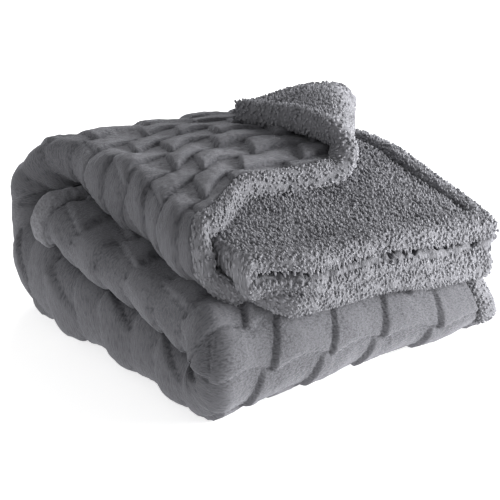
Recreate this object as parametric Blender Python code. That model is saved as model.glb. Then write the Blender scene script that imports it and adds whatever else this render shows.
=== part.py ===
"""A folded throw blanket: a plush face cloth and a curly fleece back cloth, sewn together
round the edge. The throw is folded in four across its length, then in three like a letter.

Each cloth is made flat, creased where it will bend, and then folded point by point:
u runs along the throw, v runs across it, and s runs through it from the fleece side.
Lengths are in metres. +Z is up, and the origin is at the middle of the base."""

import math

import bmesh
import bpy

# Cloths and sewing
FACE_THICKNESS = 0.0060  # short plush
BACK_THICKNESS = 0.0064  # curly fleece
SEW_GAP = 0.0004  # between the two cloths
CHANNEL_GAP = 0.0009  # on either side of a row of stitching
LAYER_GAP = 0.0010  # between two folded layers
HEM_WIDTH = 0.024  # fleece turned over onto the plush side
THREAD = 0.0012  # width and height of a row of stitching

# Folded pack
PACK_WIDTH = 0.410  # along X
PACK_DEPTH = 0.440  # along Y
LOW_LEFT = 0.130  # height of the two lower passes at the rounded side, -X, in front
LOW_RIGHT = 0.060  # the same at the open side, +X
LOW_SWELL = 0.010  # how much fuller they are half-way across
RISE_LEFT = 0.28  # share by which they grow towards the back, at the rounded side
RISE_RIGHT = 0.20  # the same at the open side
ARCH_RIGHT = 0.028  # how far the open side arches up half-way back
BOTTOM_FRONT = 0.50  # the bottom pass's share of that height, in front
BOTTOM_BACK = 0.70  # the same at the back
TOP_LEFT = 0.072  # height of the loose upper pass at the rounded side
TOP_RIGHT = 0.084  # the same at the open side
BACK_THIN = 0.25  # share by which the upper pass thins towards the back bend
BACK_DIP = 0.13  # the further share by which it thins half-way across
LOOSE = 0.007  # how far the inner layers part at the front of the upper pass
LOOSE_BAND = 0.006  # height within which they part
NOSE_SETBACK = 0.010  # how far the inner bend stays behind the outer one
INNER_STOP = 0.006  # room between the inner end and the back bend
PASS_ROOM = 0.0014  # extra room between the middle pass and the upper one
SIDE_INSET = 0.036  # how far the upper pass's rounded side is drawn in
SIDE_SPLAY = 0.022  # how far the lower passes spread at the back
BEYOND = 0.2  # share of the width past either side up to which the slope of the pack goes on

# Upper pass: its layers drawn back from the front edge, and the free corner turned back
FRONT_SETBACK = 0.130  # top layer
BEND_SETBACK = 0.066  # rounded side
NOSE_PULL = 0.024  # inner bend
TOP_LEAD = 0.100  # length before the rounded side over which the top layer's setback eases
SIDE_LEAD = 0.055  # length after it over which the setback runs out
NOSE_LEAD = 0.080  # the same on either side of the inner bend
SIDE_BEGIN = 0.3  # share of the top layer's setback left where the rounded side begins
SIDE_FINISH = 0.6  # share of the side's own setback left where it ends
CORNER_OVERHANG = 0.062
CURL_START = 0.060  # X where the curl meets the front edge
CURL_ANGLE = math.radians(36)  # of the curl's line, from +Y towards +X
CURL_RADIUS = 0.0172
CURL_FALL = 0.100  # length over which the turned corner comes down to rest
CURL_REST = 0.003  # room under the resting corner

# Facets
LONG_STEP = 0.090  # on straights, along the throw
SHORT_STEP = 0.048  # on straights, across it
CORNER_STEP = 0.024
CORNER_STEPS = 8
BEND_STEPS = 6
TIGHT_BEND_STEPS = 4

FACE = ("plush_face", (0.105, 0.104, 0.114, 1.0), 0.85)
BACK = ("fleece_back", (0.200, 0.200, 0.215, 1.0), 0.95)
STITCH = ("hem_thread", (0.085, 0.085, 0.093, 1.0), 0.70)

CLOTH = FACE_THICKNESS + SEW_GAP + BACK_THICKNESS
LAYER = CLOTH + LAYER_GAP
PASS = 4 * LAYER
FACE_INSET = HEM_WIDTH + 2 * CHANNEL_GAP + THREAD
THREAD_LOW = BACK_THICKNESS + SEW_GAP
THREAD_HIGH = THREAD_LOW + THREAD


class Path:
    """A plane route of straights and half-turns, read by its length."""

    def __init__(self, start, heading, pieces):
        self.pieces = []
        self.length = 0.0
        (a, b), angle = start, heading
        for length, radius in pieces:
            self.pieces.append((self.length, length, radius, a, b, angle))
            a, b, angle = self._along(length, radius, a, b, angle)
            self.length += length

    @staticmethod
    def _along(length, radius, a, b, angle):
        """Where a piece leads to; a positive radius turns left, and 0 is a straight."""
        if radius == 0:
            return a + length * math.cos(angle), b + length * math.sin(angle), angle
        after = angle + length / radius
        a += radius * (math.sin(after) - math.sin(angle))
        b -= radius * (math.cos(after) - math.cos(angle))
        return a, b, after

    def at(self, distance):
        for begin, length, radius, a, b, angle in self.pieces:
            if distance <= begin + length + 1e-9:
                break
        return self._along(distance - begin, radius, a, b, angle)

    def creases(self, straight_step, bend_steps):
        """The lengths at which the cloth is creased, piece by piece."""
        marks = []
        for index, (begin, length, radius, *_) in enumerate(self.pieces):
            steps = bend_steps[index] if radius else max(1, round(length / straight_step))
            marks += [begin + length * step / steps for step in range(steps)]
        return marks[1:]


def half_turn(radius):
    return (math.pi * abs(radius), radius)


def across_path():
    """The fold in four: the outer layer back from +X, round the rounded side and under,
    then the inner layer to the inner bend and out again."""
    right = PACK_WIDTH / 2
    outer = 1.5 * LAYER
    tight = 0.5 * LAYER
    bend_x = -right + outer + CLOTH / 2
    turn_x = right - tight - CLOTH / 2
    nose_x = bend_x + NOSE_SETBACK
    return Path(
        (right, 3.5 * LAYER),
        math.pi,
        [
            (right - bend_x, 0),
            half_turn(outer),
            (turn_x - bend_x, 0),
            half_turn(tight),
            (turn_x - nose_x, 0),
            half_turn(-tight),
            (right - nose_x, 0),
        ],
    )


def deep_path():
    """The letter fold, read at the inside of the four layers: the upper pass to the back,
    down to the bottom pass, and round the front wall to the middle pass."""
    half = PACK_DEPTH / 2
    back_y = half - 1.5 * PASS
    wall_y = -half + PASS
    return Path(
        (-half + LAYER / 2, 2 * PASS),
        0.0,
        [
            (back_y + half - LAYER / 2, 0),
            half_turn(-PASS / 2),
            (back_y - wall_y, 0),
            (math.pi * LAYER_GAP / 4, -LAYER_GAP / 4),
            (back_y - INNER_STOP - wall_y, 0),
        ],
    )


ACROSS = across_path()
DEEP = deep_path()
TOP_LENGTH = ACROSS.pieces[1][0]  # u where the top layer reaches the rounded side
BEND_END = ACROSS.pieces[2][0]
NOSE_START, NOSE_END = ACROSS.pieces[5][0], ACROSS.pieces[6][0]
UPPER_LENGTH = DEEP.pieces[1][0]  # v where the upper pass reaches the back bend
BACK_END = DEEP.pieces[2][0]


def smooth(value):
    value = min(1.0, max(0.0, value))
    return value * value * (3 - 2 * value)


def held(value, low, high):
    return min(high, max(low, value))


def eased(rise):
    """Nothing below zero and the rise itself above, joined by a soft bend half a pass wide."""
    reach = PASS / 2
    if rise >= reach:
        return rise
    return max(0.0, rise + reach) ** 2 / (4 * reach)


def settled(x, y, z):
    """The height after the pack has settled: full at the rounded side, flat at the open one."""
    share = held(x / PACK_WIDTH + 0.5, -BEYOND, 1 + BEYOND)
    back = held(y / PACK_DEPTH + 0.5, 0.0, 1.0)
    low = LOW_LEFT + (LOW_RIGHT - LOW_LEFT) * share + LOW_SWELL * 4 * share * (1 - share)
    low *= 1 + back * (RISE_LEFT + (RISE_RIGHT - RISE_LEFT) * share)
    low += ARCH_RIGHT * share * 4 * back * (1 - back)
    bottom = low * (BOTTOM_FRONT + (BOTTOM_BACK - BOTTOM_FRONT) * back)
    top = TOP_LEFT + (TOP_RIGHT - TOP_LEFT) * share
    top *= 1 - (BACK_THIN + BACK_DIP * 4 * share * (1 - share)) * smooth(2 * back - 1)
    base = LAYER_GAP / 2  # the underside of the folds lies on the ground
    lowest, middle, upper = bottom / (PASS - base), (low - bottom) / PASS, top / PASS
    height = lowest * (z - base) + (middle - lowest) * eased(z - PASS)
    height += PASS_ROOM * smooth((z - 2 * PASS) / LAYER_GAP + 0.5)
    return height + (upper - middle) * eased(z - 2 * PASS)


def setback(u):
    """How far each part of the upper pass is drawn back from the front, along the throw."""
    knots = [
        (TOP_LENGTH - TOP_LEAD, FRONT_SETBACK),
        (TOP_LENGTH, BEND_SETBACK + SIDE_BEGIN * (FRONT_SETBACK - BEND_SETBACK)),
        ((TOP_LENGTH + BEND_END) / 2, BEND_SETBACK),
        (BEND_END, SIDE_FINISH * BEND_SETBACK),
        (BEND_END + SIDE_LEAD, 0.0),
        (NOSE_START - NOSE_LEAD, 0.0),
        (NOSE_START, NOSE_PULL),
        (NOSE_END, NOSE_PULL),
        (NOSE_END + NOSE_LEAD, 0.0),
    ]
    value = knots[0][1]
    for (start, first), (end, last) in zip(knots, knots[1:]):
        value += (last - first) * smooth((u - start) / (end - start))
    return value


def opened(height, share):
    """The two inner layers of the upper pass part a little at the front."""
    return height + LOOSE * share * smooth((height - 2 * LAYER) / LOOSE_BAND + 0.5)


def side_shift(x, y, v):
    """The upper pass's rounded side is drawn in, and the lower passes spread at the back."""
    drawn_in = 1 - smooth((v - UPPER_LENGTH) / (BACK_END - UPPER_LENGTH))
    splay = SIDE_SPLAY * (1 - drawn_in) * held(y / PACK_DEPTH + 0.5, 0.0, 1.0)
    return (SIDE_INSET * drawn_in - splay) * held(0.5 - x / PACK_WIDTH, 0.0, 1.0)


def turned_back(x, y, z, middle):
    """The free corner of the top layer, rolled up about a slanting line and laid back on it;
    z is the point's height before settling, and middle that of the cloth's middle."""
    front = -PACK_DEPTH / 2 + LAYER / 2 + FRONT_SETBACK
    line_x = CURL_START + (y - front) * math.tan(CURL_ANGLE)
    beyond = (x - line_x) * math.cos(CURL_ANGLE)
    if beyond <= 0:
        return x, y, settled(x, y, z)
    ground = settled(x, y, middle)
    depth = settled(x, y, z) - ground
    turn = min(beyond / CURL_RADIUS, math.pi)
    over = beyond - turn * CURL_RADIUS
    shift = (CURL_RADIUS - depth) * math.sin(turn) - over - beyond
    fall = (2 * CURL_RADIUS - LAYER - CURL_REST) * smooth(over / CURL_FALL)
    up = CURL_RADIUS - (CURL_RADIUS - depth) * math.cos(turn) - fall
    x += shift * math.cos(CURL_ANGLE)
    y -= shift * math.sin(CURL_ANGLE)
    return x, y, ground + (settled(x, y, middle) - ground) * smooth(turn / math.pi) + up


def folded(u, v, s):
    """Where the point (u, v, s) of the flat throw lies in the folded pack."""
    x, w, angle = ACROSS.at(u)
    x += (s - CLOTH / 2) * math.sin(angle)
    rise = -(s - CLOTH / 2) * math.cos(angle)
    share = held(1 - v / UPPER_LENGTH, 0.0, 1.0)
    height = opened(w + rise, share)
    y, z, slope = DEEP.at(v)
    middle = z + (height - rise) * math.cos(slope)
    y, z = y - height * math.sin(slope), z + height * math.cos(slope)
    y += share * setback(u)
    if u < TOP_LENGTH:
        x += CORNER_OVERHANG * share * smooth(1 - u / TOP_LENGTH)
    x += side_shift(x, y, v)
    if v < UPPER_LENGTH and u < TOP_LENGTH:
        return turned_back(x, y, z, middle)
    return x, y, settled(x, y, z)


def seam_lines(length):
    """The lines beside both edges where a cloth ends or the stitching runs, in every piece."""
    row = HEM_WIDTH + CHANNEL_GAP
    near = [HEM_WIDTH, row, row + THREAD, FACE_INSET]
    return near + [length - line for line in near]


def crease_lines():
    """The flat cloth's crease positions along u and along v."""
    bends = {1: BEND_STEPS, 3: TIGHT_BEND_STEPS, 5: TIGHT_BEND_STEPS}
    along_u = ACROSS.creases(LONG_STEP, bends)
    along_v = DEEP.creases(SHORT_STEP, {1: BEND_STEPS, 3: BEND_STEPS})
    corner_u = [0.5 * CORNER_STEP + CORNER_STEP * step for step in range(CORNER_STEPS)]
    corner_v = [0.5 * CORNER_STEP + CORNER_STEP * step for step in range(CORNER_STEPS)]
    far_u = [u for u in along_u if u > corner_u[-1] + CORNER_STEP / 2]
    far_v = [v for v in along_v if v > corner_v[-1] + CORNER_STEP / 2]
    lines_u = corner_u + far_u + seam_lines(ACROSS.length)
    lines_v = corner_v + far_v + seam_lines(DEEP.length)
    return lines_u, lines_v


def split(bm, axis, position):
    """Creases the flat cloth along one straight line."""
    point, normal = [0.0, 0.0, 0.0], [0.0, 0.0, 0.0]
    point[axis], normal[axis] = position, 1.0
    geometry = bm.verts[:] + bm.edges[:] + bm.faces[:]
    bmesh.ops.bisect_plane(bm, geom=geometry, dist=1e-6, plane_co=point, plane_no=normal)


def flat_slab(low, high):
    """A flat piece of cloth between two corners, creased along every line that crosses it."""
    bm = bmesh.new()
    bmesh.ops.create_cube(bm, size=1.0)
    for vert in bm.verts:
        vert.co = [lo + (0.5 + c) * (hi - lo) for lo, hi, c in zip(low, high, vert.co)]
    for axis, lines in enumerate(crease_lines()):
        for position in lines:
            if low[axis] + 1e-4 < position < high[axis] - 1e-4:
                split(bm, axis, position)
    return bm


def turn_hem(bm):
    """Raises the border of the back cloth, which is turned over round the face cloth."""
    border = []
    for face in bm.faces:
        u, v, s = face.calc_center_median()
        inside_u = HEM_WIDTH < u < ACROSS.length - HEM_WIDTH
        inside_v = HEM_WIDTH < v < DEEP.length - HEM_WIDTH
        if face.normal.z > 0.5 and not (inside_u and inside_v):
            border.append(face)
    raised = bmesh.ops.extrude_face_region(bm, geom=border)
    verts = [item for item in raised["geom"] if isinstance(item, bmesh.types.BMVert)]
    bmesh.ops.delete(bm, geom=border, context="FACES_ONLY")
    for vert in verts:
        vert.co.z = CLOTH


def halve(bm):
    """Cuts every flat quad from its near to its far corner, so all pieces crease alike."""
    for face in bm.faces[:]:
        corners = sorted(face.verts, key=lambda vert: sum(vert.co))
        bmesh.utils.face_split(face, corners[0], corners[-1])


def material(spec):
    name, colour, roughness = spec
    made = bpy.data.materials.new(name)
    made.use_nodes = True
    shader = made.node_tree.nodes["Principled BSDF"]
    shader.inputs["Base Color"].default_value = colour
    shader.inputs["Roughness"].default_value = roughness
    shader.inputs["Metallic"].default_value = 0.0
    return made


def fold_and_place(bm, name, spec, collection):
    """Folds a flat piece, and makes it a named object with its own material."""
    for level in (THREAD_LOW, THREAD_HIGH):
        split(bm, 2, level)
    halve(bm)
    bmesh.ops.recalc_face_normals(bm, faces=bm.faces[:])
    for vert in bm.verts:
        vert.co = folded(*vert.co)
    bmesh.ops.reverse_faces(bm, faces=bm.faces[:])  # folding mirrors the flat cloth
    mesh = bpy.data.meshes.new(name)
    bm.to_mesh(mesh)
    bm.free()
    mesh.materials.append(material(spec))
    mesh.shade_smooth()
    mesh.set_sharp_from_angle(angle=math.radians(40))
    collection.objects.link(bpy.data.objects.new(name, mesh))


def back_cloth(collection):
    bm = flat_slab((0, 0, 0), (ACROSS.length, DEEP.length, BACK_THICKNESS))
    turn_hem(bm)
    fold_and_place(bm, "back_cloth", BACK, collection)


def face_cloth(collection):
    """The face cloth lies within the turned border, leaving a channel for the stitching."""
    low = (FACE_INSET, FACE_INSET, THREAD_LOW)
    high = (ACROSS.length - FACE_INSET, DEEP.length - FACE_INSET, CLOTH)
    fold_and_place(flat_slab(low, high), "face_cloth", FACE, collection)


def hem_stitching(collection):
    """One row of thread along each edge, in the channel beside the turned border."""
    near = HEM_WIDTH + CHANNEL_GAP
    far_u, far_v = ACROSS.length - near, DEEP.length - near
    low, high = THREAD_LOW, THREAD_HIGH
    clear = FACE_INSET  # the end rows stop short of the side rows
    rows = {
        "hem_stitching_front": ((near, near, low), (far_u, near + THREAD, high)),
        "hem_stitching_inner": ((near, far_v - THREAD, low), (far_u, far_v, high)),
        "hem_stitching_top_end": ((near, clear, low), (near + THREAD, DEEP.length - clear, high)),
        "hem_stitching_lower_end": (
            (far_u - THREAD, clear, low),
            (far_u, DEEP.length - clear, high),
        ),
    }
    for name, (start, end) in rows.items():
        fold_and_place(flat_slab(start, end), name, STITCH, collection)


def centre(collection):
    """Moves the pieces together, so that the origin is at the middle of the pack's outline."""
    verts = [vert for obj in collection.objects for vert in obj.data.vertices]
    for axis in (0, 1):
        places = [vert.co[axis] for vert in verts]
        middle = (min(places) + max(places)) / 2
        for vert in verts:
            vert.co[axis] -= middle


def main():
    for obj in list(bpy.data.objects):
        bpy.data.objects.remove(obj, do_unlink=True)
    parts = bpy.data.collections.new("folded_throw_blanket")
    bpy.context.scene.collection.children.link(parts)
    back_cloth(parts)
    face_cloth(parts)
    hem_stitching(parts)
    centre(parts)


main()
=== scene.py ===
# %% [markdown]
# # A folded throw blanket
# The throw is two cloths sewn together: a sculpted plush face and a curly fleece back, which is
# also turned over the edges as a soft hem. It is folded in four across, then in three like a
# letter, and the free corner of its top layer is turned back to show the fleece.
# Every surface here is the flat cloth carried through one folding rule, so the block pattern, the
# curls and the nap run over the folds as they do on real cloth.

# %% The frame
import math

import bpy
import numpy as np
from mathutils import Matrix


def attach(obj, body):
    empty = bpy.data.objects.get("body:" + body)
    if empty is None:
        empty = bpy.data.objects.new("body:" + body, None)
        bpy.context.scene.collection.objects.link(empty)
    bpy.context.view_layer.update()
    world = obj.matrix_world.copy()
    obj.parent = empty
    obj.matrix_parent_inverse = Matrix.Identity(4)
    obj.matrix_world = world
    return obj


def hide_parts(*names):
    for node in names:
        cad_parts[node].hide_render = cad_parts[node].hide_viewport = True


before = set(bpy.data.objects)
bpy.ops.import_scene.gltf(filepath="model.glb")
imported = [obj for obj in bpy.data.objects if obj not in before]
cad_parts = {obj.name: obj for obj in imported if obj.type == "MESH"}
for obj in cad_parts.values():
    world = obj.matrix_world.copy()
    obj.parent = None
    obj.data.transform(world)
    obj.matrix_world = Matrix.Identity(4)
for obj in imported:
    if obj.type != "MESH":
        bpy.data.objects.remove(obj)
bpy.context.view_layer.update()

BODY = "root"

# %% [markdown]
# ## Driving sizes
# The cloth's thickness, the hem and the pack's outer size. A folded throw settles: its lower layers
# press flat towards the open side, and the rounded side stays high because the bends hold it up.

# %% Sizes
FACE_THICKNESS, BACK_THICKNESS = 0.0060, 0.0064
SEW_GAP, LAYER_GAP = 0.0004, 0.0010
CLOTH = FACE_THICKNESS + SEW_GAP + BACK_THICKNESS
LAYER = CLOTH + LAYER_GAP
PASS = 4 * LAYER
HEM_WIDTH = 0.024
HALF_WIDTH, HALF_DEPTH = 0.205, 0.220
LOW_LEFT, LOW_RIGHT, LOW_SWELL = 0.130, 0.060, 0.010
RISE_LEFT, RISE_RIGHT, ARCH_RIGHT = 0.28, 0.20, 0.028
BACK_THIN, BACK_DIP = 0.25, 0.13
BEYOND = 0.2  # share of the width past either side up to which the slope of the pack goes on
LOOSE, LOOSE_BAND = 0.007, 0.006  # how far the inner layers part, and within what height
BOTTOM_FRONT, BOTTOM_BACK = 0.50, 0.70
TOP_LEFT, TOP_RIGHT = 0.072, 0.084
SIDE_INSET, SIDE_SPLAY = 0.036, 0.022
NOSE_SETBACK, INNER_STOP = 0.010, 0.006
FRONT_SETBACK, BEND_SETBACK, NOSE_PULL = 0.130, 0.066, 0.024
TOP_LEAD, SIDE_LEAD, NOSE_LEAD = 0.10, 0.055, 0.080  # lengths over which the setbacks change
SIDE_BEGIN, SIDE_FINISH = 0.3, 0.6  # shares of a setback at the two ends of the rounded side
CORNER_OVERHANG = 0.062
CURL_START, CURL_ANGLE, CURL_RADIUS = 0.060, math.radians(36), 0.0172
CURL_FALL, CURL_REST = 0.100, 0.003
CORNER_FRONT = -HALF_DEPTH + LAYER / 2 + FRONT_SETBACK  # the top layer's front edge
CENTRE_X = 0.0026  # brings the middle of the pack's box to the origin
RNG = np.random.default_rng(11)

# %% [markdown]
# ## Routes of the folds
# A fold is a plane route of straights and half-turns. One route folds the length of the throw in
# four (across the pack), the other folds the stack of four in three (front to back).

# %% Routes
class Route:
    """Straights (radius 0) and arcs, read by distance. A positive radius turns left."""

    def __init__(self, start, heading, pieces):
        self.pieces, self.length = [], 0.0
        (a, b), angle = start, heading
        for length, radius in pieces:
            self.pieces.append((self.length, length, radius, a, b, angle))
            a, b, angle = self.along(np.array(length), radius, a, b, angle)
            self.length += length

    @staticmethod
    def along(length, radius, a, b, angle):
        if radius == 0:
            return a + length * np.cos(angle), b + length * np.sin(angle), angle + 0 * length
        after = angle + length / radius
        across = a + radius * (np.sin(after) - np.sin(angle))
        return across, b - radius * (np.cos(after) - np.cos(angle)), after

    def at(self, distance):
        """Position and heading at each distance; beyond the ends the route runs straight on."""
        out = None
        for begin, _, radius, a, b, angle in self.pieces:
            here = self.along(distance - begin, radius, a, b, angle)
            out = here if out is None else [
                np.where(distance > begin, new, old) for new, old in zip(here, out)
            ]
        return out


def half_turn(radius):
    return (math.pi * abs(radius), radius)


def across_route():
    outer, tight = 1.5 * LAYER, 0.5 * LAYER
    bend_x = -HALF_WIDTH + outer + CLOTH / 2
    turn_x = HALF_WIDTH - tight - CLOTH / 2
    nose_x = bend_x + NOSE_SETBACK
    legs = [
        (HALF_WIDTH - bend_x, 0),
        half_turn(outer),
        (turn_x - bend_x, 0),
        half_turn(tight),
        (turn_x - nose_x, 0),
        half_turn(-tight),
        (HALF_WIDTH - nose_x, 0),
    ]
    return Route((HALF_WIDTH, 3.5 * LAYER), math.pi, legs)


def deep_route():
    back_y = HALF_DEPTH - 1.5 * PASS
    wall_y = -HALF_DEPTH + PASS
    front_y = -HALF_DEPTH + LAYER / 2
    legs = [
        (back_y - front_y, 0),
        half_turn(-PASS / 2),
        (back_y - wall_y, 0),
        (math.pi * LAYER_GAP / 4, -LAYER_GAP / 4),
        (back_y - INNER_STOP - wall_y, 0),
    ]
    return Route((front_y, 2 * PASS), 0.0, legs)


ACROSS, DEEP = across_route(), deep_route()
MARK_U = [piece[0] for piece in ACROSS.pieces] + [ACROSS.length]
MARK_V = [piece[0] for piece in DEEP.pieces] + [DEEP.length]
print("throw as routed, in metres", round(ACROSS.length, 3), round(DEEP.length, 3))

# %% [markdown]
# ## The folding rule
# A point of the flat cloth (u along it, v across it, s through it) goes through the fold in four,
# the letter fold, the settling of the pack and the turned-back corner. Last comes a slow
# unevenness, because hand-folded cloth is never quite straight.

# %% The folding rule
def smooth(value):
    value = np.clip(value, 0, 1)
    return value * value * (3 - 2 * value)


def eased(rise):
    """Nothing below zero and the rise itself above, joined by a soft bend half a pass wide."""
    reach = PASS / 2
    return np.where(rise >= reach, rise, np.maximum(0, rise + reach) ** 2 / (4 * reach))


def settled(x, y, z):
    """Height after settling: full at the rounded side, pressed flat at the open side."""
    share = np.clip(x / (2 * HALF_WIDTH) + 0.5, -BEYOND, 1 + BEYOND)
    back = np.clip(y / (2 * HALF_DEPTH) + 0.5, 0, 1)
    low = LOW_LEFT + (LOW_RIGHT - LOW_LEFT) * share
    low = low + LOW_SWELL * 4 * share * (1 - share)
    low = low * (1 + back * (RISE_LEFT + (RISE_RIGHT - RISE_LEFT) * share))
    low = low + ARCH_RIGHT * share * 4 * back * (1 - back)
    bottom = low * (BOTTOM_FRONT + (BOTTOM_BACK - BOTTOM_FRONT) * back)
    thin = BACK_THIN + BACK_DIP * 4 * share * (1 - share)
    top = (TOP_LEFT + (TOP_RIGHT - TOP_LEFT) * share) * (1 - thin * smooth(2 * back - 1))
    base = LAYER_GAP / 2
    lowest, middle, upper = bottom / (PASS - base), (low - bottom) / PASS, top / PASS
    height = lowest * (z - base) + (middle - lowest) * eased(z - PASS)
    return height + (upper - middle) * eased(z - 2 * PASS)


def setback(u):
    """How far each part of the upper pass is drawn back from the front edge, along the throw."""
    knots = [
        (MARK_U[1] - TOP_LEAD, FRONT_SETBACK),
        (MARK_U[1], (1 - SIDE_BEGIN) * BEND_SETBACK + SIDE_BEGIN * FRONT_SETBACK),
        ((MARK_U[1] + MARK_U[2]) / 2, BEND_SETBACK),
        (MARK_U[2], SIDE_FINISH * BEND_SETBACK),
        (MARK_U[2] + SIDE_LEAD, 0.0),
        (MARK_U[5] - NOSE_LEAD, 0.0),
        (MARK_U[5], NOSE_PULL),
        (MARK_U[6], NOSE_PULL),
        (MARK_U[6] + NOSE_LEAD, 0.0),
    ]
    value = knots[0][1]
    for (start, first), (end, last) in zip(knots, knots[1:]):
        value = value + (last - first) * smooth((u - start) / (end - start))
    return value


def opened(height, v):
    """The two inner layers of the upper pass part a little at the front, round the inner bend."""
    share = np.clip(1 - v / MARK_V[1], 0, 1)
    return height + LOOSE * share * smooth((height - 2 * LAYER) / LOOSE_BAND + 0.5)


def corner_line(y):
    """Where the slanting line of the turned-back corner crosses the pack, at each depth."""
    return CURL_START + (y - CORNER_FRONT) * math.tan(CURL_ANGLE)


def curled(x, y, z, middle, inside):
    """The free corner, rolled up about a slanting line and laid back over the top layer."""
    beyond = np.where(inside, (x - corner_line(y)) * math.cos(CURL_ANGLE), 0)
    beyond = np.maximum(beyond, 0)
    high, ground = settled(x, y, z), settled(x, y, middle)
    depth = high - ground
    turn = np.minimum(beyond / CURL_RADIUS, math.pi)
    over = beyond - turn * CURL_RADIUS
    shift = (CURL_RADIUS - depth) * np.sin(turn) - over - beyond
    shift = np.where(beyond > 0, shift, 0)
    fall = (2 * CURL_RADIUS - LAYER - CURL_REST) * smooth(over / CURL_FALL)
    up = CURL_RADIUS - (CURL_RADIUS - depth) * np.cos(turn) - fall
    x = x + shift * math.cos(CURL_ANGLE)
    y = y - shift * math.sin(CURL_ANGLE)
    landed = ground + (settled(x, y, middle) - ground) * smooth(turn / math.pi) + up
    return x, y, np.where(beyond > 0, landed, high)


def uneven(x, y, z):
    """A slow unevenness of the whole pack, nothing at the ground and more towards the top."""
    lift = np.clip(z / 0.05, 0, 1)
    dx = 0.0035 * np.sin(17 * y + 29 * z + 0.6) + 0.002 * np.sin(41 * y - 23 * z)
    dy = 0.0035 * np.sin(15 * x + 31 * z + 1.9) + 0.002 * np.sin(37 * x + 11 * z)
    dz = 0.0028 * np.sin(21 * x + 0.8) * np.sin(19 * y + 0.3) + 0.0014 * np.sin(47 * x + 33 * y)
    return x + dx, y + dy, z + dz * lift


def laid(u, v, s):
    """Points of the flat throw folded in four and in three, before settling and curling."""
    u, v, s = np.broadcast_arrays(u, v, s)
    x, w, angle = ACROSS.at(u)
    x = x + (s - CLOTH / 2) * np.sin(angle)
    rise = -(s - CLOTH / 2) * np.cos(angle)
    y, z, slope = DEEP.at(v)
    w = opened(w + rise, v) - rise
    middle = z + w * np.cos(slope)
    y, z = y - (w + rise) * np.sin(slope), z + (w + rise) * np.cos(slope)
    upper, top = v < MARK_V[1], u < MARK_U[1]
    share = np.where(upper, 1 - np.maximum(v, 0) / MARK_V[1], 0)
    y = y + share * setback(u)
    x = x + CORNER_OVERHANG * share * np.where(top, smooth(1 - u / MARK_U[1]), 0)
    drawn_in = 1 - smooth((v - MARK_V[1]) / (MARK_V[2] - MARK_V[1]))
    splay = SIDE_SPLAY * (1 - drawn_in) * np.clip(y / (2 * HALF_DEPTH) + 0.5, 0, 1)
    x = x + (SIDE_INSET * drawn_in - splay) * np.clip(0.5 - x / (2 * HALF_WIDTH), 0, 1)
    return x, y, z, middle, upper & top


def folded(u, v, s):
    """Where points of the flat throw lie in the folded pack; arrays of any one shape."""
    x, y, z = uneven(*curled(*laid(u, v, s)))
    return np.stack([x + CENTRE_X, y, np.maximum(z, 0.0004)], axis=-1)


# %% [markdown]
# ## Meshes from grids
# A surface is a grid of points. Quads join neighbours, wound so that they face outward, and the
# grid's own flat coordinates go into a UV map, which the materials use for the nap.

# %% Grid to mesh
def mesh_from_grid(name, points, flat, material, flip=False, around=False, crest=None):
    """points is rows x columns x 3; around joins the last column to the first."""
    rows, columns = points.shape[:2]
    index = np.arange(rows * columns).reshape(rows, columns)
    if around:
        index = np.concatenate([index, index[:, :1]], axis=1)
    quads = np.stack([index[:-1, :-1], index[1:, :-1], index[1:, 1:], index[:-1, 1:]], axis=-1)
    quads = quads.reshape(-1, 4)
    if flip:
        quads = quads[:, ::-1]
    return mesh_object(name, points.reshape(-1, 3), quads, material, flat.reshape(-1, 2), crest)


def mesh_object(name, points, quads, material, flat=None, crest=None):
    """An object from points and quads, smooth, with the flat coordinates as its UV map."""
    mesh = bpy.data.meshes.new(name)
    mesh.vertices.add(len(points))
    mesh.vertices.foreach_set("co", points.astype(np.float32).ravel())
    mesh.loops.add(quads.size)
    mesh.loops.foreach_set("vertex_index", quads.astype(np.int32).ravel())
    mesh.polygons.add(len(quads))
    mesh.polygons.foreach_set("loop_start", np.arange(len(quads), dtype=np.int32) * 4)
    mesh.update(calc_edges=True)
    mesh.validate()
    if flat is not None:
        layer = mesh.uv_layers.new(name="flat")
        layer.data.foreach_set("uv", flat[quads.ravel()].astype(np.float32).ravel())
    if crest is not None:
        marks = mesh.attributes.new("crest", "FLOAT", "POINT")
        marks.data.foreach_set("value", crest.astype(np.float32).ravel())
    mesh.shade_smooth()
    mesh.materials.append(material)
    piece = bpy.data.objects.new(name, mesh)
    bpy.context.scene.collection.objects.link(piece)
    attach(piece, BODY)
    print(name, len(quads) * 2, "triangles")
    return piece


def spaced(*stretches):
    """Grid lines: each stretch is (start, end, step), and neighbours share their ends."""
    lines = []
    for start, end, step in stretches:
        count = max(1, int(round((end - start) / step)))
        lines.append(np.linspace(start, end, count, endpoint=False))
    return np.append(np.concatenate(lines), stretches[-1][1])


# %% [markdown]
# ## Noise
# Pile is lumpy at several sizes at once. A lattice of random values, blended smoothly between its
# points, gives a soft bump field; a few of them at different scales make fleece and plush.

# %% Noise
LATTICE = RNG.random((128, 128))


def value_noise(a, b):
    """Smoothly blended random values, -1 to 1, with one lump per unit."""
    i, j = np.floor(a).astype(int), np.floor(b).astype(int)
    p, q = smooth(a - i), smooth(b - j)
    corner = [[LATTICE[(i + di) % 128, (j + dj) % 128] for dj in (0, 1)] for di in (0, 1)]
    low = corner[0][0] * (1 - q) + corner[0][1] * q
    high = corner[1][0] * (1 - q) + corner[1][1] * q
    return 2 * (low * (1 - p) + high * p) - 1


def lumps(a, b, size, octaves=3):
    total, weight = 0.0, 1.0
    for octave in range(octaves):
        turn = 0.7 + 1.1 * octave
        c, d = math.cos(turn), math.sin(turn)
        scale = size / 1.9**octave
        total = total + weight * value_noise((a * c + b * d) / scale + 9.1, (b * c - a * d) / scale)
        weight *= 0.55
    return total


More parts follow.
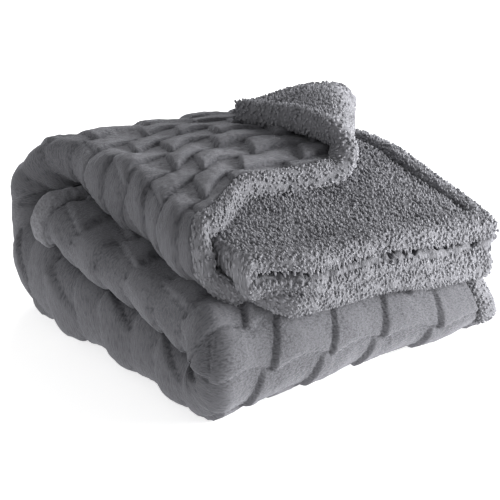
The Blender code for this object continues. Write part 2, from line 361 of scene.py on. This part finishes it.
# %% [markdown]
# ## The sculpted blocks
# The plush is carved in rows of blocks, each row shifted by half a block. A block swells towards
# one edge and one side and then drops into a cut, like a shingle, and the cuts bow from row to row.

# %% The sculpted blocks
BLOCK_LENGTH, BLOCK_ROW, BLOCK_HEIGHT = 0.078, 0.050, 0.0075


def block_cell(along, row):
    """Place within a row's block, 0 to 1, and the arched line where that row begins."""
    a = along / BLOCK_LENGTH + 0.5 * (row % 2) + 0.10 * np.sin(2.4 * row + 0.7)
    a = a - np.floor(a)
    return a, row + 0.20 * np.sin(math.pi * a) - 0.10


def block_place(along, across):
    """(a, b, row): place along and across the block that each flat point lies in."""
    along = along + 0.005 * lumps(along, across, 0.11, 2)
    across = (across + 0.004 * lumps(across + 3, along, 0.12, 2)) / BLOCK_ROW
    row = np.floor(across)
    row = row - (across < block_cell(along, row)[1])
    row = row + (across >= block_cell(along, row + 1)[1])
    bowed = along + BLOCK_LENGTH * np.where(row % 2 > 0.5, 0.22, 0.14) * (across - row - 0.5)
    a, begin = block_cell(along, row)
    end = block_cell(along, row + 1)[1]
    return block_cell(bowed, row)[0], np.clip((across - begin) / (end - begin), 0, 1), row


def sculpted(along, across):
    """Height of the carved pile, and how far each point is out of the cuts, 0.3 to 1, which the
    plush's colour uses as painted shade in the cuts and painted highlight on the swelling crests.
    """
    a, b, row = block_place(along, across)
    swell = smooth(a / 0.75) * (1 - smooth((a - 0.955) / 0.045))
    step = smooth(b / 0.09) * (1 - 0.70 * smooth((b - 0.25) / 0.75))
    dome = np.sqrt(np.clip(1 - (1.5 * (b - 0.40)) ** 2, 0.06, 1))
    cut = smooth(np.minimum(a, 1 - a) / 0.028) * smooth(np.minimum(b, 1.02 - b) / 0.045)
    height = 0.46 * swell * dome + 0.42 * step * (0.55 + 0.45 * swell) + 0.12 * cut - 0.35
    # painted shade: low in the cuts where shade falls, high towards the swell and the step as
    # painted highlight
    crest = 0.30 + 0.70 * cut * (0.60 + 0.22 * swell + 0.18 * step)
    return BLOCK_HEIGHT * height, crest


# %% [markdown]
# ## Materials
# Both cloths are dyed polyester pile: no shine, but a pale bloom where fibres are seen edge-on. The
# bloom comes from sheen, and the fine nap from one node group that all the materials share.

# %% Material groups
def group(name, inputs, outputs):
    """An empty shader node group with float inputs and outputs; returns tree, input and output."""
    tree = bpy.data.node_groups.new(name, "ShaderNodeTree")
    for label, kind, default in inputs:
        socket = tree.interface.new_socket(label, in_out="INPUT", socket_type=kind)
        if default is not None:
            socket.default_value = default
    for label, kind in outputs:
        tree.interface.new_socket(label, in_out="OUTPUT", socket_type=kind)
    return tree, tree.nodes.new("NodeGroupInput"), tree.nodes.new("NodeGroupOutput")


def pile_group():
    """Fine fibre pattern: noise stretched along the nap, as a height and as a shade."""
    inputs = [
        ("Vector", "NodeSocketVector", None),
        ("Scale", "NodeSocketFloat", 900.0),
        ("Stretch", "NodeSocketFloat", 3.0),
    ]
    outputs = [("Height", "NodeSocketFloat"), ("Shade", "NodeSocketFloat")]
    tree, start, end = group("pile", inputs, outputs)
    nodes, link = tree.nodes, tree.links.new
    squeeze = nodes.new("ShaderNodeCombineXYZ")
    squeeze.inputs["Y"].default_value = 1.0
    squeeze.inputs["Z"].default_value = 1.0
    inverse = nodes.new("ShaderNodeMath")
    inverse.operation = "DIVIDE"
    inverse.inputs[0].default_value = 1.0
    link(start.outputs["Stretch"], inverse.inputs[1])
    link(inverse.outputs[0], squeeze.inputs["X"])
    stretched = nodes.new("ShaderNodeVectorMath")
    stretched.operation = "MULTIPLY"
    link(start.outputs["Vector"], stretched.inputs[0])
    link(squeeze.outputs[0], stretched.inputs[1])
    fine = nodes.new("ShaderNodeTexNoise")
    fine.inputs["Detail"].default_value = 3.0
    fine.inputs["Roughness"].default_value = 0.6
    link(stretched.outputs[0], fine.inputs["Vector"])
    link(start.outputs["Scale"], fine.inputs["Scale"])
    link(fine.outputs["Fac"], end.inputs["Height"])
    link(fine.outputs["Fac"], end.inputs["Shade"])
    return tree


PILE = pile_group()


def cloth_material(name, dark, light, scale, stretch, bump, sheen, contrast, crest=0.0):
    """Pile cloth: tone from the pile group, painted shade in the cuts and painted highlight on the
    crests from the crest attribute, bump, and a pale sheen.
    """
    material = bpy.data.materials.new(name)
    material.use_nodes = True
    nodes, link = material.node_tree.nodes, material.node_tree.links.new
    shader = nodes["Principled BSDF"]
    shader.inputs["Roughness"].default_value = 0.92
    shader.inputs["Specular IOR Level"].default_value = 0.12
    shader.inputs["Sheen Weight"].default_value = sheen
    shader.inputs["Sheen Roughness"].default_value = 0.45
    shader.inputs["Sheen Tint"].default_value = (0.85, 0.86, 0.92, 1)
    place = nodes.new("ShaderNodeUVMap")
    place.uv_map = "flat"
    pile = nodes.new("ShaderNodeGroup")
    pile.node_tree = PILE
    pile.inputs["Scale"].default_value = scale
    pile.inputs["Stretch"].default_value = stretch
    link(place.outputs[0], pile.inputs["Vector"])
    slow = nodes.new("ShaderNodeTexNoise")
    slow.inputs["Scale"].default_value = 26.0
    slow.inputs["Detail"].default_value = 2.0
    link(place.outputs[0], slow.inputs["Vector"])
    both = nodes.new("ShaderNodeMath")
    both.operation = "MULTIPLY_ADD"
    both.inputs[1].default_value = 0.35
    link(slow.outputs["Fac"], both.inputs[0])
    link(pile.outputs["Shade"], both.inputs[2])
    ramp = nodes.new("ShaderNodeValToRGB")
    # the ramp is moved with the crest weight, so the crest attribute paints shade in the cuts and
    # highlight on the crests
    midtone = 0.68 + 0.5 * crest
    ramp.color_ramp.elements[0].position = midtone - contrast
    ramp.color_ramp.elements[0].color = (*dark, 1)
    ramp.color_ramp.elements[1].position = midtone + contrast
    ramp.color_ramp.elements[1].color = (*light, 1)
    marks = nodes.new("ShaderNodeAttribute")
    marks.attribute_name = "crest"
    # painted shade and highlight: the crest attribute, weighted, is added to the pile's tone,
    # darker in the cuts and lighter on the crests
    painted_cut_shade = nodes.new("ShaderNodeMath")
    painted_cut_shade.operation = "MULTIPLY_ADD"
    painted_cut_shade.inputs[1].default_value = crest
    link(marks.outputs["Fac"], painted_cut_shade.inputs[0])
    link(both.outputs[0], painted_cut_shade.inputs[2])
    link(painted_cut_shade.outputs[0], ramp.inputs["Fac"])
    link(ramp.outputs["Color"], shader.inputs["Base Color"])
    raised = nodes.new("ShaderNodeBump")
    raised.inputs["Strength"].default_value = bump
    raised.inputs["Distance"].default_value = 0.002
    link(pile.outputs["Height"], raised.inputs["Height"])
    link(raised.outputs["Normal"], shader.inputs["Normal"])
    return material


# crest=0.30 sets how strong the painted shade in the cuts and the painted highlight on the crests
# are
PLUSH = cloth_material(
    "plush_face", dark=(0.050, 0.050, 0.056), light=(0.132, 0.132, 0.143),
    scale=480, stretch=2.0, bump=0.9, sheen=0.32, contrast=0.20, crest=0.30,
)
FLEECE = cloth_material(
    "fleece_back", dark=(0.13, 0.13, 0.140), light=(0.22, 0.22, 0.236),
    scale=420, stretch=1.0, bump=0.7, sheen=0.3, contrast=0.16,
)
CURL = cloth_material(
    "fleece_curl", dark=(0.19, 0.19, 0.204), light=(0.30, 0.30, 0.321),
    scale=300, stretch=1.0, bump=0.15, sheen=0.25, contrast=0.2,
)
THREAD = cloth_material(
    "hem_thread", dark=(0.06, 0.06, 0.066), light=(0.10, 0.10, 0.108),
    scale=2500, stretch=1.0, bump=0.5, sheen=0.2, contrast=0.2,
)

# %% [markdown]
# ## The plush face cloth
# One surface, fine where it shows (the top layer, the rounded side, the wall and the back) and
# coarse inside the pack. Lines across the pack follow the length of the outer layer, the one seen.

# %% The plush face cloth
def outer_length(v):
    """Length along the outermost layer from the front edge, for the block pattern and the grid."""
    fine = np.linspace(0, DEEP.length, 20001)
    y, z, slope = DEEP.at(fine)
    y, z = y - 4 * LAYER * np.sin(slope), z + 4 * LAYER * np.cos(slope)
    steps = np.hypot(np.diff(y), np.diff(z))
    length = np.append(0, np.cumsum(steps))
    return np.interp(v, fine, length), fine, length


def v_of_outer(length):
    _, fine, run = outer_length(0.0)
    return np.interp(length, run, fine)


PUCKER_REACH, PUCKER_SIZE, PUCKER_HEIGHT = 0.045, 0.050, 0.0060


def puckers(u, run):
    """Slack folds on the rounded side, where the cloth has too much room: wide lumps that fade
    out along a bell curve to either side of the bend's middle."""
    middle = (MARK_U[1] + MARK_U[2]) / 2
    side = np.exp(-(((u - middle) / PUCKER_REACH) ** 2))
    return side * (PUCKER_HEIGHT * lumps(u, 0.6 * run, PUCKER_SIZE, 2) - 0.001)


OUTER_MARK = outer_length(np.array(MARK_V))[0]
FACE_INSET = HEM_WIDTH - 0.004


def plush_cloth():
    end_u, end_v = ACROSS.length - FACE_INSET, OUTER_MARK[-1] - FACE_INSET
    u = spaced(
        (FACE_INSET, MARK_U[1], 0.0026),
        (MARK_U[1], MARK_U[2] + 0.03, 0.0024),
        (MARK_U[2] + 0.03, MARK_U[3], 0.02),
        (MARK_U[3], MARK_U[4], 0.003),
        (MARK_U[4], MARK_U[5], 0.02),
        (MARK_U[5], MARK_U[6], 0.004),
        (MARK_U[6], end_u, 0.02),
    )
    run = spaced(
        (FACE_INSET, OUTER_MARK[1], 0.0028),
        (OUTER_MARK[1], OUTER_MARK[2], 0.0045),
        (OUTER_MARK[2], OUTER_MARK[3], 0.0050),
        (OUTER_MARK[3], OUTER_MARK[4], 0.0027),
        (OUTER_MARK[4], end_v, 0.0045),
    )
    grid_u, grid_run = np.meshgrid(u, run, indexing="ij")
    seen = smooth((MARK_U[2] + 0.05 - grid_u) / 0.04)
    edge = np.minimum(grid_u - FACE_INSET, ACROSS.length - FACE_INSET - grid_u)
    edge = np.minimum(edge, np.minimum(grid_run, OUTER_MARK[-1] - grid_run) - FACE_INSET)
    tuck = 0.006 * (1 - smooth(edge / 0.010))
    # crest goes to the plush's colour as painted shade in the cuts and painted highlight on the
    # crests
    blocks, crest = sculpted(grid_u, grid_run)
    pile = blocks + 0.0005 * lumps(grid_u, grid_run, 0.007) + puckers(grid_u, grid_run)
    s = CLOTH + seen * pile - tuck
    points = folded(grid_u, v_of_outer(grid_run), s)
    flat = np.stack([grid_u, grid_run], axis=-1)
    return mesh_from_grid("plush_face_cloth", points, flat, PLUSH, crest=crest)


plush = plush_cloth()

# %% [markdown]
# ## The fleece back cloth
# The other side of the same folds. It shows on the second layer, round the inner bend and outside
# the turned-back corner, so those stretches get fine lines and lumps.

# %% The fleece back cloth
GROOVE_INSET, GROOVE_DEPTH = HEM_WIDTH + 0.0030, 0.0036
TURNED_LENGTH = 0.22  # length of the top layer on which the fleece side can be seen


def edge_distance(u, v):
    return np.minimum(np.minimum(u, ACROSS.length - u), np.minimum(v, DEEP.length - v))


def groove(u, v):
    """The stitched groove beside the hem: a bell-shaped dip 3 mm to either side."""
    return GROOVE_DEPTH * np.exp(-(((edge_distance(u, v) - GROOVE_INSET) / 0.003) ** 2))


def fleece_cloth():
    end_u, end_v = ACROSS.length - FACE_INSET, DEEP.length - FACE_INSET
    u = spaced(
        (FACE_INSET, TURNED_LENGTH, 0.0021),
        (TURNED_LENGTH, MARK_U[1], 0.012),
        (MARK_U[1], MARK_U[2], 0.003),
        (MARK_U[2], MARK_U[3], 0.02),
        (MARK_U[3], MARK_U[4], 0.004),
        (MARK_U[4], MARK_U[5], 0.02),
        (MARK_U[5], MARK_U[6], 0.002),
        (MARK_U[6], end_u, 0.0021),
    )
    v = spaced(
        (FACE_INSET, MARK_V[1], 0.0021),
        (MARK_V[1], MARK_V[2], 0.006),
        (MARK_V[2], MARK_V[3], 0.03),
        (MARK_V[3], MARK_V[4], 0.0002),
        (MARK_V[4], end_v, 0.03),
    )
    grid_u, grid_v = np.meshgrid(u, v, indexing="ij")
    open_part = (grid_u < TURNED_LENGTH) | (grid_u > MARK_U[5])
    seen = smooth((MARK_V[1] - grid_v) / 0.02) * open_part
    curls = 0.0012 * lumps(grid_u, grid_v, 0.006, 3)
    s = groove(grid_u, grid_v) - seen * curls
    points = folded(grid_u, grid_v, s)
    flat = np.stack([grid_u, grid_v], axis=-1)
    return mesh_from_grid("fleece_back_cloth", points, flat, FLEECE, flip=True)


fleece = fleece_cloth()

# %% [markdown]
# ## The turned hem
# The fleece is wider than the plush and is rolled over its edge, so each edge is a fat soft roll
# with a stitched groove beside it. A roll is an oval carried along the edge.

# %% The turned hem
HEM_ROUND = 28
HEM_OVER = 0.002  # how far a roll reaches past the cut edge, and in over the cloth
FLEECE_SWELL, PLUSH_SWELL = 0.0042, 0.0040  # how far a roll stands out on either side
INNER_SWELLS = (0.0006, -0.0015)  # the plush side on the two inner layers, lower one first
EDGES = {
    "hem_front": (1, 0.0, 1.0),
    "hem_inner": (1, DEEP.length, -1.0),
    "hem_top_end": (0, 0.0, 1.0),
    "hem_lower_end": (0, ACROSS.length, -1.0),
}


def rounded(value):
    """The sine or cosine of a turn, fuller than a circle's, for an oval with flat sides."""
    return np.sign(value) * np.abs(value) ** 0.75


def hem_section(turn, axis, along):
    """The roll's cross-section: distance in from the edge, and height through the cloth. It is
    fat on the fleece side, and on the plush side only where no other layer lies on it."""
    inner = smooth((along - MARK_U[3]) / 0.03) if axis == 1 else 0.0
    fuller = np.where(along < MARK_U[5], *INNER_SWELLS)
    plush_side = PLUSH_SWELL + (fuller - PLUSH_SWELL) * inner
    swell = np.where(np.sin(turn) > 0, plush_side, FLEECE_SWELL)
    across = HEM_WIDTH / 2 + (HEM_WIDTH / 2 + HEM_OVER) * rounded(np.cos(turn))
    return across, CLOTH / 2 + (CLOTH / 2 + swell) * rounded(np.sin(turn))


def hem_points(axis, edge, inward, along, inset, height):
    """Carries points of a roll's section to one edge of the folded cloth."""
    if axis == 1:
        return folded(along, edge + inward * inset, height)
    return folded(edge + inward * inset, v_of_outer(along), height)


def hem_lines(axis):
    if axis == 1:
        return spaced((0.0, MARK_U[-1], 0.0021))
    marks = OUTER_MARK
    return spaced(
        (0.0, marks[1], 0.0021),
        (marks[1], marks[3], 0.004),
        (marks[3], marks[4], 0.0021),
        (marks[4], marks[5], 0.006),
    )


def hem_roll(name, axis, edge, inward):
    turn = np.linspace(0, 2 * math.pi, HEM_ROUND, endpoint=False)
    along = hem_lines(axis)
    grid_a, grid_t = np.meshgrid(along, turn, indexing="ij")
    inset, height = hem_section(grid_t, axis, grid_a)
    puff = 0.0012 * lumps(grid_a + 7 * axis, 0.012 * grid_t, 0.006, 3)
    ends = np.clip(np.minimum(grid_a, along[-1] - grid_a) / 0.006, 0, 1)
    close = np.sqrt(ends * (2 - ends))
    grid_i = HEM_WIDTH / 2 + (inset - HEM_WIDTH / 2 + puff * np.cos(grid_t)) * close
    grid_h = CLOTH / 2 + (height - CLOTH / 2 + puff * np.sin(grid_t)) * close
    points = hem_points(axis, edge, inward, grid_a, grid_i, grid_h)
    flat = np.stack([grid_a, 0.011 * grid_t], axis=-1)
    flip = (axis == 1) != (inward > 0)
    return mesh_from_grid(name, points, flat, FLEECE, flip=flip, around=True)


hems = [hem_roll(name, *edge) for name, edge in EDGES.items()]

# %% [markdown]
# ## Curls
# Sherpa fleece is knitted of small loose curls. Each one here is a short bent tube that rises from
# the cloth, arches over and comes down again. They are laid out on a jittered grid in the flat
# cloth and go through the same folding rule as everything else.

# %% One curl, many times
CURL_PROFILE = (1.0, 1.25, 1.3, 1.3, 1.1, 0.5)  # thickness from root to tip, in CURL_THICK
CURL_PITCH, CURL_RINGS, CURL_SIDES = 0.0042, len(CURL_PROFILE), 4
CURL_THICK, CURL_REACH = 0.0012, 0.0014
ROOT_IN_CLOTH, ROOT_IN_HEM = 0.0006, 0.0008  # how deep a curl's root is sunk


def jittered(low, high, pitch):
    """Points of a grid between two corners, each moved at random by up to half a pitch."""
    a = np.arange(low[0], high[0], pitch)
    b = np.arange(low[1], high[1], pitch)
    a, b = np.meshgrid(a, b, indexing="ij")
    shift = RNG.uniform(-0.5, 0.5, (2,) + a.shape) * pitch
    return (a + shift[0]).ravel(), (b + shift[1]).ravel()


def curl_offsets(count):
    """Points of bent tubes, count x rings x sides, along, across and up from each root."""
    bend = np.linspace(0, 1.8 * math.pi, CURL_RINGS)[:, None]
    round_turn = np.arange(CURL_SIDES) * 2 * math.pi / CURL_SIDES
    radius = np.array(CURL_PROFILE)[:, None] * CURL_THICK
    reach = CURL_REACH * RNG.uniform(0.7, 1.3, (count, 1, 1))
    upright = radius * np.sin(round_turn)
    forward = reach * (np.sin(bend) * 0.6 + 0.35 * bend) - upright * np.sin(bend)
    rise = reach * (1 - np.cos(bend)) * 0.62 + upright * np.cos(bend)
    aside = radius * np.cos(round_turn) + 0 * forward
    heading = RNG.uniform(0, 2 * math.pi, (count, 1, 1))
    along = forward * np.cos(heading) - aside * np.sin(heading)
    across = forward * np.sin(heading) + aside * np.cos(heading)
    return along, across, rise


def parting(u, v, s):
    """How much the opening between the two inner layers stretches the cloth's thickness: the
    slope of the rule in opened."""
    _, w, angle = ACROSS.at(u)
    height = w - (s - CLOTH / 2) * np.cos(angle)
    place = np.clip((height - 2 * LAYER) / LOOSE_BAND + 0.5, 0, 1)
    share = np.clip(1 - v / MARK_V[1], 0, 1)
    return 1 + LOOSE / LOOSE_BAND * 6 * place * (1 - place) * share


def tube_quads(count, rings, sides):
    """Quads of many tubes, each joining neighbouring rings; points go tube by tube."""
    ring = np.arange(rings - 1)[:, None] * sides
    side = np.arange(sides)[None, :]
    after, above = (side + 1) % sides, ring + sides
    quad = np.stack([ring + side, ring + after, above + after, above + side], -1)
    first = np.arange(count) * rings * sides
    return (quad.reshape(1, -1, 4) + first[:, None, None]).reshape(-1, 4)


def curl_piece(name, points, flat, material):
    """One mesh of many curls, each shaded by the place of its root."""
    quads = tube_quads(len(points), CURL_RINGS, CURL_SIDES)
    flat = np.repeat(flat[:, None, :], CURL_RINGS * CURL_SIDES, axis=1).reshape(-1, 2)
    return mesh_object(name, points.reshape(-1, 3), quads, material, flat)


# %% Curls on the fleece
def bare(u, v, on_top):
    """True where the fleece is open to view: past the roll's line, or ahead of the top layer."""
    x, y, _, _, _ = laid(u, v, 0.0)
    past = x - corner_line(y)
    return past > -0.005 if on_top else (past > -0.03) | (y < CORNER_FRONT + 0.03)


def fleece_curls(name, low, high, on_top):
    u, v = jittered(low, high, CURL_PITCH)
    keep = bare(u, v, on_top) & (np.abs(edge_distance(u, v) - GROOVE_INSET) > 0.0022)
    u, v = u[keep], v[keep]
    along, across, rise = curl_offsets(len(u))
    spread = [value[:, None, None] for value in (u, v, groove(u, v))]
    points = folded(spread[0] + along, spread[1] + across, spread[2] - rise + ROOT_IN_CLOTH)
    return curl_piece(name, points, np.stack([u, v], axis=-1), CURL)


inner = HEM_WIDTH - 0.002
curls = [
    fleece_curls(
        "curls_lower_layer", (MARK_U[5], inner), (ACROSS.length - inner, MARK_V[1]), False
    ),
    fleece_curls("curls_turned_corner", (inner, inner), (0.30, MARK_V[1]), True),
]

# %% Curls on the hems
HEM_GIRTH = 0.080  # length once round a roll
PRESSED = 0.70  # sine of the turn above which an inner roll lies against its neighbour


def hem_curls(name, axis, edge, inward, begin, end, pitch=CURL_PITCH):
    """Curls all round a hem's roll; up is away from the roll's middle."""
    along, place = jittered((begin, 0.0), (end, HEM_GIRTH), pitch)
    turn = place / HEM_GIRTH * 2 * math.pi
    between = (axis == 1) & (along > MARK_U[3]) & (np.sin(turn) > PRESSED)
    along, turn, place = along[~between], turn[~between], place[~between]
    inset, height = hem_section(turn, axis, along)
    side, across, rise = curl_offsets(len(along))
    spread = [value[:, None, None] for value in (along, turn, inset, height)]
    cos, sin = np.cos(spread[1]), np.sin(spread[1])
    reach = rise - ROOT_IN_HEM
    stretch = parting(spread[0], 0.0, spread[3]) if axis == 1 else 1.0
    inset = spread[2] + reach * cos - across * sin
    height = spread[3] + (reach * sin + across * cos) / stretch
    points = hem_points(axis, edge, inward, spread[0] + side, inset, height)
    return curl_piece(name, points, np.stack([along + 3 * axis, place], axis=-1), CURL)


wall = OUTER_MARK[3]
curls += [
    hem_curls("curls_hem_front_outer", *EDGES["hem_front"], 0.002, MARK_U[3]),
    hem_curls(
        "curls_hem_front_inner", *EDGES["hem_front"], MARK_U[3], ACROSS.length - 0.002, 0.0039
    ),
    hem_curls("curls_hem_corner", *EDGES["hem_top_end"], 0.002, OUTER_MARK[1]),
    hem_curls("curls_hem_wall", *EDGES["hem_top_end"], wall - 0.04, OUTER_MARK[4] + 0.01),
    hem_curls("curls_hem_lower", *EDGES["hem_lower_end"], 0.002, OUTER_MARK[1]),
]

# %% [markdown]
# ## Stitching
# A row of short stitches runs in the groove beside each hem, on both faces of the throw. Each
# stitch is a small spindle whose ends dip into the cloth.

# %% Stitches
STITCH_PITCH, STITCH_LENGTH, STITCH_RADIUS = 0.0062, 0.0048, 0.0006
STITCH_ARCH, SEAM_DEPTH = 0.0009, 0.0030  # rise of a stitch, and its row's depth in the plush


def stitches(name, axis, edge, inward):
    """Two rows of spindles: thickness and height follow half a sine from end to end."""
    total = ACROSS.length if axis == 1 else OUTER_MARK[-1]
    starts = np.arange(HEM_WIDTH, total - HEM_WIDTH, STITCH_PITCH)
    share = np.linspace(0.03, 0.97, 5)[:, None]
    turn = np.arange(4) * math.pi / 2
    thick = STITCH_RADIUS * np.sqrt(np.sin(math.pi * share))
    along = starts[:, None, None] + STITCH_LENGTH * share + 0 * turn
    inset = GROOVE_INSET + thick * np.cos(turn) + 0 * along
    arch = STITCH_ARCH * np.sin(math.pi * share) + thick * np.sin(turn) + 0 * along
    rows = [(along, inset, GROOVE_DEPTH - arch), (along, inset, CLOTH - SEAM_DEPTH + arch)]
    points = np.concatenate([hem_points(axis, edge, inward, *row) for row in rows])
    quads = tube_quads(*points.shape[:3])
    flat = np.stack([along + 0 * inset, inset], axis=-1).reshape(-1, 2)
    flat = np.concatenate([flat, flat])
    return mesh_object(name, points.reshape(-1, 3), quads, THREAD, flat)


threads = {name: stitches("stitches" + name[3:], *edge) for name, edge in EDGES.items()}

# %% [markdown]
# ## Camera and light
# The camera looks down at the front corner from the left. Light is broad and soft and comes mostly
# from the right, over a pale floor.

# %% Camera and light
SKY_LIGHT, FLOOR_GLOW = 0.36, 0.60


def camera():
    data = bpy.data.cameras.new("camera")
    data.lens = 240
    data.sensor_width = 36
    eye = bpy.data.objects.new("camera", data)
    turn, rise, away = math.radians(-36.5), math.radians(29.2), 3.98
    back = np.array([
        math.sin(turn) * math.cos(rise), -math.cos(turn) * math.cos(rise), math.sin(rise)
    ])
    target = np.array([0.004, -0.003, 0.078])
    eye.location = target + away * back
    eye.rotation_euler = (math.pi / 2 - rise, 0, turn)
    bpy.context.scene.collection.objects.link(eye)
    bpy.context.scene.camera = eye


def area_light(name, place, aim, size, power):
    data = bpy.data.lights.new(name, "AREA")
    data.size, data.energy = size, power
    lamp = bpy.data.objects.new(name, data)
    lamp.location = place
    way = np.array(aim) - np.array(place)
    flat = math.hypot(way[0], way[1])
    lamp.rotation_euler = (math.atan2(flat, -way[2]), 0, math.atan2(way[1], way[0]) - math.pi / 2)
    bpy.context.scene.collection.objects.link(lamp)


def studio_world():
    """White to the eye but dimmer as a light, so that the lamps shape the folds."""
    world = bpy.data.worlds.new("studio")
    world.use_nodes = True
    nodes, link = world.node_tree.nodes, world.node_tree.links.new
    nodes["Background"].inputs["Color"].default_value = (1, 1, 1, 1)
    path = nodes.new("ShaderNodeLightPath")
    level = nodes.new("ShaderNodeMath")
    level.operation = "MULTIPLY_ADD"
    level.inputs[1].default_value = 1 - SKY_LIGHT
    level.inputs[2].default_value = SKY_LIGHT
    link(path.outputs["Is Camera Ray"], level.inputs[0])
    link(level.outputs[0], nodes["Background"].inputs["Strength"])
    bpy.context.scene.world = world
    bpy.context.scene.view_settings.view_transform = "Standard"


def studio_floor():
    floor = bpy.data.meshes.new("floor")
    corners = [(-6, -6, 0), (6, -6, 0), (6, 6, 0), (-6, 6, 0)]
    floor.from_pydata(corners, [], [(0, 1, 2, 3)])
    white = bpy.data.materials.new("floor")
    white.use_nodes = True
    shader = white.node_tree.nodes["Principled BSDF"]
    shader.inputs["Base Color"].default_value = (0.95, 0.95, 0.95, 1)
    shader.inputs["Roughness"].default_value = 1.0
    shader.inputs["Emission Color"].default_value = (1, 1, 1, 1)
    shader.inputs["Emission Strength"].default_value = FLOOR_GLOW
    floor.materials.append(white)
    ground = bpy.data.objects.new("floor", floor)
    bpy.context.scene.collection.objects.link(ground)


camera()
studio_world()
studio_floor()
area_light("key", place=(1.15, -1.0, 0.38), aim=(0.10, -0.1, 0.08), size=0.9, power=56)
area_light("back", place=(1.0, 1.2, 0.9), aim=(0, 0, 0.12), size=0.8, power=18)
area_light("left", place=(-1.3, 0.1, 0.45), aim=(-0.1, 0, 0.08), size=0.8, power=4)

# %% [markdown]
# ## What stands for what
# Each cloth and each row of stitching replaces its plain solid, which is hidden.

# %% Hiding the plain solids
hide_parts("face_cloth")
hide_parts("back_cloth")
for name, thread in threads.items():
    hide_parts("hem_stitching" + name[3:])
